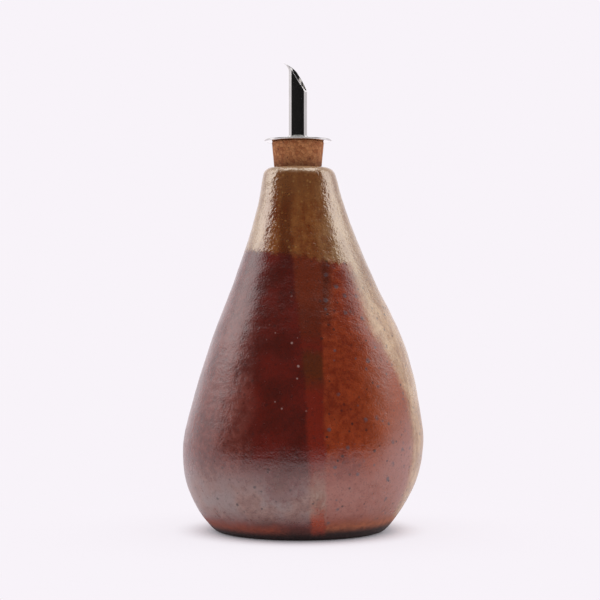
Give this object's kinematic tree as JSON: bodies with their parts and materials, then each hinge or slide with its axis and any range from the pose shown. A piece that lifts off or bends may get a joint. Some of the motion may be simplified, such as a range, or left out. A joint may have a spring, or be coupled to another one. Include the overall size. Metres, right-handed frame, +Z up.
{
  "type": "oil cruet",
  "caption": "Teardrop stoneware oil cruet with a tapered cork stopper and a slant-cut steel pour tube on a round flange.",
  "frame": {"origin": "middle of the foot, on the surface that the cruet stands on", "axes": "+Z up, +X to the side that the thrown wall leans to, -Y towards the picture's camera"},
  "size_m": [0.102, 0.1018, 0.1986],
  "materials": {
    "glazed_stoneware": "gloss",
    "cork": "matte",
    "polished_steel": "polished"
  },
  "bodies": {
    "bottle": {"bottle_body": "glazed_stoneware"},
    "stopper": {"cork_stopper": "cork"},
    "pourer": {"spout_tube": "polished_steel", "flange_disc": "polished_steel", "breather_tube": "polished_steel"}
  },
  "joints": [
    {"name": "stopper_lift", "type": "slide", "parent": "bottle", "child": "stopper", "axis": [0, 0, 1], "range_m": [0, 0.06]},
    {"name": "spout_turn", "type": "hinge", "parent": "stopper", "child": "pourer", "pos_m": [-0.0009, 0, 0.1648], "axis": [0, 0, 1], "continuous": true}
  ]
}
